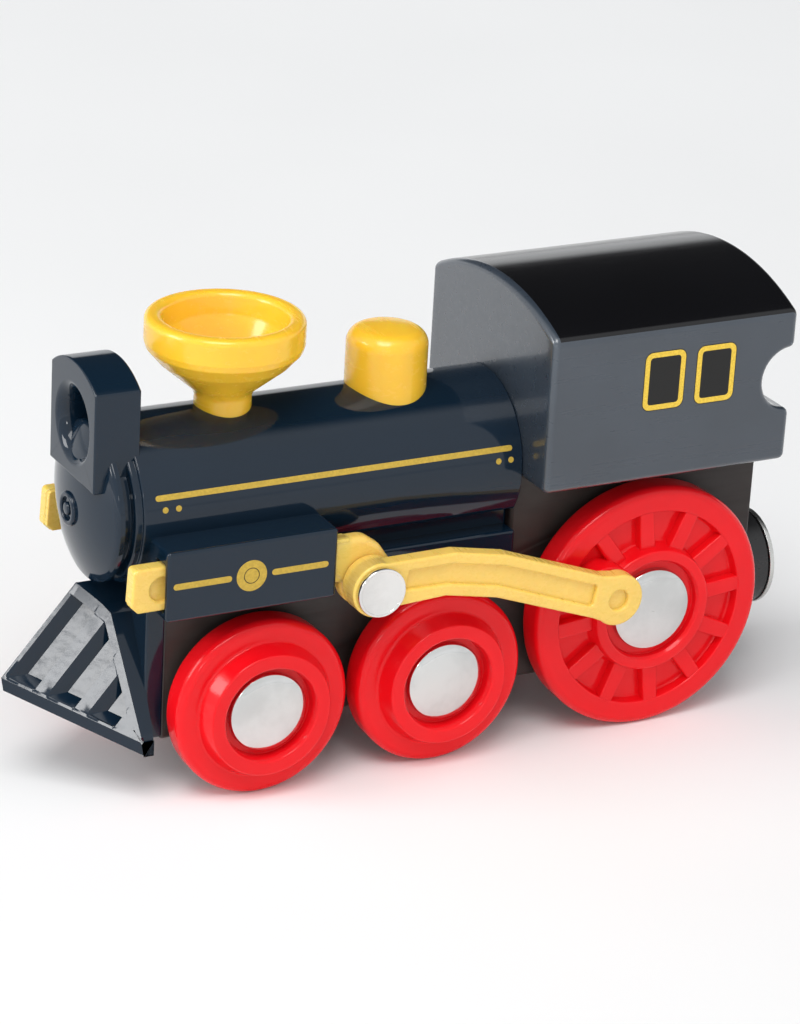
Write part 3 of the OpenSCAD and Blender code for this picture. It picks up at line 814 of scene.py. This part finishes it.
# ------------------------------------------------------------ running gear
def pistons():
    """A flat bar that slides through the block, with a thick rounded crosshead behind it"""
    px, pin_z = pin_at.x, pin_at.z
    top, low = pz + bar_h / 2, pz - bar_h / 2
    front = piston_hi.x
    for side, label in SIDES:
        place = on_side(side)
        y0, y1 = piston_lo.y, piston_lo.y + bar_t
        bar = soften([(px + 2.6, low, 0.3), (front - 1.0, low, 0.4), (front, low + 1.0, 0.5),
                      (front - 0.3, top, 0.7), (px + 2.6, top, 0.3)], 4)
        dimple = circle(block_front + 0.15, pz - 0.1, 1.75, 40)
        shapes = [cutout([bar, dimple], y0 + 0.6, y1, 0.35, place), slab(inset(bar, 0.15), y0, y1 - 0.75, 0.2, place)]
        elbow = [(px + 5.4, pin_z + 1.4, 1.1), (px + 5.4, top, 1.1), (px + 0.4, top, 2.5),
                 (px - 1.9, pz + 1.5, 2.5), (px - 3.8, pz - 1.2, 2)]
        knuckle = soften(arc(px, pin_z, 3.9, -180, 0, 24) + elbow, 5)
        shapes.append(slab(knuckle, y0, piston_hi.y, 0.9, place, 7))
        piece(f"piston_{label}_moulding", shapes, YELLOW, label + "_piston", [f"piston_{label}"], sharp=50)


def rods():
    """Arched connecting rod with a channel in its face and an eye over the crank."""
    px, pin_z = pin_at.x, pin_at.z
    run = Vector((px - eye_at.x, pin_z - eye_at.z))
    length, lean = run.length, math.atan2(run.y, run.x)
    y0, y1 = pin_hi.y - 0.7 - 0.2 - 2.5, pin_hi.y - 0.7 - 0.2

    def tilted(points):
        """points along the rod, from the pin back, turned to the rod's slope"""
        ca, sa = math.cos(lean), math.sin(lean)
        return [(px + p[0] * ca - p[1] * sa, pin_z + p[0] * sa + p[1] * ca, *p[2:]) for p in points]

    arch, half = [(-10.5, 2.8), (-18.6, 2.8), (-35, 0.3)], 3.15
    outer = (arc(0, 0, 3.9, -146, 94, 26) + [(x, y + half, 1.2) for x, y in arch]
             + arc(-length, 0, 3.8, 70, 302, 26) + [(x, y - half, 1.2) for x, y in reversed(arch)])
    channel = ([(-3.9, 3.0, 0.2)] + [(x, y + 1.55, 0.8) for x, y in arch[:2]]
               + [(-34.4, 2.0, 0.5), (-34.4, -1.1, 0.5)]
               + [(x, y - 1.4, 0.8) for x, y in reversed(arch[:2])] + [(-3.9, 0.2, 0.2)])
    outer, channel = soften(tilted(outer), 4), soften(tilted(channel), 4)
    eye = [(eye_at.x + p[0], eye_at.z + p[1]) for p in circle(0, 0, 1.5, 40)]
    for side, label in SIDES:
        place = on_side(side)
        shapes = [cutout([outer, channel, eye], y0, y1, 0.38, place),
                  slab(inset(outer, 0.7), y0 + 0.1, y1 - 0.75, 0.05, place, 1)]
        boss = soften([(0, rod_lo.y), (3.9, rod_lo.y, 0.4), (3.9, y1 - 0.4), (0, y1 - 0.4)], 5, closed=False)
        shapes.append(lathe(boss, place, px, pin_z, steps=64))
        piece(f"rod_{label}_moulding", shapes, YELLOW, label + "_rod", [f"rod_{label}"], sharp=50)


def pins():
    r, head = (pin_hi.x - pin_lo.x) / 2, pin_hi.y
    outline = soften([
        (0, pin_lo.y), (1.5, pin_lo.y), (1.5, head - 0.7), (r, head - 0.7, 0.12), (r, head, 0.2),
        (r - 0.35, head, 0.1), (r - 0.42, head - 0.08, 0.05), (0, head - 0.05)], 4, closed=False)
    for side, label in SIDES:
        shape = lathe(outline, on_side(side), pin_at.x, pin_at.z, steps=72)
        piece(f"crosshead_pin_{label}_turned", [shape], PIN_STEEL, label + "_piston",
              [f"crosshead_pin_{label}"], sharp=50)


def coupling():
    z = (magnet_lo.z + magnet_hi.z) / 2
    r_h, r_m = (housing_hi.z - housing_lo.z) / 2, (magnet_hi.z - magnet_lo.z) / 2
    x_m, x_h = magnet_lo.x, housing_lo.x
    cup = soften([(0, chassis_lo.x), (r_h, chassis_lo.x), (r_h, x_h + 0.02, 0.3), (0, x_h + 0.02)], 4, closed=False)
    disc = soften([(0, x_h), (r_m, x_h, 0.15), (r_m, x_m, 0.25), (2.1, x_m, 0.1), (1.95, x_m + 0.25, 0.05),
                   (0, x_m + 0.25)], 4, closed=False)
    head = [(0, x_m + 0.4), (1.85, x_m + 0.4), (1.85, x_m + 0.12), (1.6, x_m + 0.02), (0, x_m)]
    piece("magnet_cup_moulding", [lathe(cup, along_x, 0, z)], BLACK_PLASTIC, "loco",
          ["magnet_housing"])
    piece("coupling_magnet_disc", [lathe(disc, along_x, 0, z)], MAGNET, "loco", ["coupling_magnet"])
    piece("magnet_rivet_head", [lathe(head, along_x, 0, z, steps=48)], AXLE, "loco", ["magnet_rivet"])


def axles():
    for name in ("front", "middle", "drive"):
        lo, hi = span(name + "_axle")
        at = axle_at[name]
        outline = soften([(0, lo.y), (axle_r, lo.y, 0.2), (axle_r, hi.y, 0.2), (0, hi.y)], 3, closed=False)
        rod = lathe(outline, on_side(1), at.x, at.z, steps=48)
        piece(name + "_axle_rod", [rod], AXLE, name + "_wheelset", [name + "_axle"])


for build in (chassis, cab, windows, boiler, cylinder_blocks, smokebox, headlamp, cowcatcher, funnel, steam_dome,
              pinstripes, small_wheels, hub_caps, drive_wheels, pistons, rods, pins, coupling, axles):
    build()


# ------------------------------------------------------------ studio
def floor():
    mesh = bpy.data.meshes.new("studio_floor")
    s = 3.0
    mesh.from_pydata([(-s, -s, 0), (s, -s, 0), (s, s, 0), (-s, s, 0)], [], [(0, 1, 2, 3)])
    mesh.materials.append(satin_floor())
    obj = bpy.data.objects.new("studio_floor", mesh)
    bpy.context.scene.collection.objects.link(obj)


def softbox(name, at, size, power, target=(0, 0, 0.03), colour=(1, 1, 1)):
    data = bpy.data.lights.new(name, "AREA")
    data.shape, data.size, data.size_y = "RECTANGLE", size[0], size[1]
    data.energy, data.color = power, colour
    obj = bpy.data.objects.new(name, data)
    bpy.context.scene.collection.objects.link(obj)
    obj.location = at
    obj.rotation_euler = (Vector(target) - Vector(at)).to_track_quat("-Z", "Y").to_euler()


def studio():
    """Bright room with one dark zone behind on the right, which the roof and the boiler top mirror."""
    floor()
    world = bpy.data.worlds.new("studio")
    bpy.context.scene.world = world
    world.use_nodes = True
    tree = world.node_tree
    background = tree.nodes["Background"]
    background.inputs["Color"].default_value = (0.97, 0.985, 1.0, 1)
    where = tree.nodes.new("ShaderNodeTexCoord")
    towards = tree.nodes.new("ShaderNodeVectorMath")
    towards.operation = "DOT_PRODUCT"
    towards.inputs[1].default_value = Vector((-0.45, -0.75, 0.5)).normalized()
    tree.links.new(where.outputs["Generated"], towards.inputs[0])
    fade = tree.nodes.new("ShaderNodeMapRange")
    fade.interpolation_type = "SMOOTHSTEP"
    for key, value in (("From Min", 0.44), ("From Max", 0.66), ("To Min", 0.9), ("To Max", 0.04)):
        fade.inputs[key].default_value = value
    tree.links.new(towards.outputs["Value"], fade.inputs["Value"])
    height = tree.nodes.new("ShaderNodeSeparateXYZ")
    tree.links.new(where.outputs["Generated"], height.inputs[0])
    low = tree.nodes.new("ShaderNodeMapRange")
    low.interpolation_type = "SMOOTHSTEP"
    for key, value in (("From Min", 0.16), ("From Max", 0.26), ("To Min", 1.0), ("To Max", 0.0)):
        low.inputs[key].default_value = value
    tree.links.new(height.outputs["Z"], low.inputs["Value"])
    brighter = tree.nodes.new("ShaderNodeMath")
    brighter.operation = "MAXIMUM"
    tree.links.new(fade.outputs["Result"], brighter.inputs[0])
    tree.links.new(low.outputs["Result"], brighter.inputs[1])
    tree.links.new(brighter.outputs[0], background.inputs["Strength"])
    softbox("key", (0.50, 0.60, 1.50), (0.85, 0.85), 13.5)
    mirrored = Vector((prow_lo.x + 4, 10, 12)) * MM
    bounce = Vector((0.528, 0.784, 0.326))      # where the cowcatcher's left face sends the camera's line of sight
    softbox("cowcatcher_glint", mirrored + bounce * 0.9, (0.09, 0.09), 0.34, target=mirrored)
    softbox("front", (0.95, -0.2, 0.5), (0.4, 0.4), 4.0)
    bpy.context.scene.view_settings.view_transform = "Standard"


def camera():
    """Seen from the front left, a little above, with a long lens."""
    azimuth, elevation, roll = math.radians(151.08), math.radians(22.16), math.radians(3.37)
    look_at, distance = Vector((-0.00184, 0, 0.03626)), 0.51743
    flat = math.cos(elevation)
    back = Vector((math.sin(azimuth) * flat, -math.cos(azimuth) * flat, math.sin(elevation)))
    right = (-back).cross(Vector((0, 0, 1))).normalized()
    up = right.cross(-back)
    right, up = right * math.cos(roll) + up * math.sin(roll), up * math.cos(roll) - right * math.sin(roll)
    data = bpy.data.cameras.new("camera")
    data.lens, data.sensor_width = 131.27, 36
    data.shift_x, data.shift_y = -0.01256, -0.0315
    data.clip_start, data.clip_end = 0.01, 20
    obj = bpy.data.objects.new("camera", data)
    bpy.context.scene.collection.objects.link(obj)
    turn = Matrix((right, up, back)).transposed().to_4x4()
    obj.matrix_world = Matrix.Translation(look_at + back * distance) @ turn
    bpy.context.scene.camera = obj


studio()
camera()
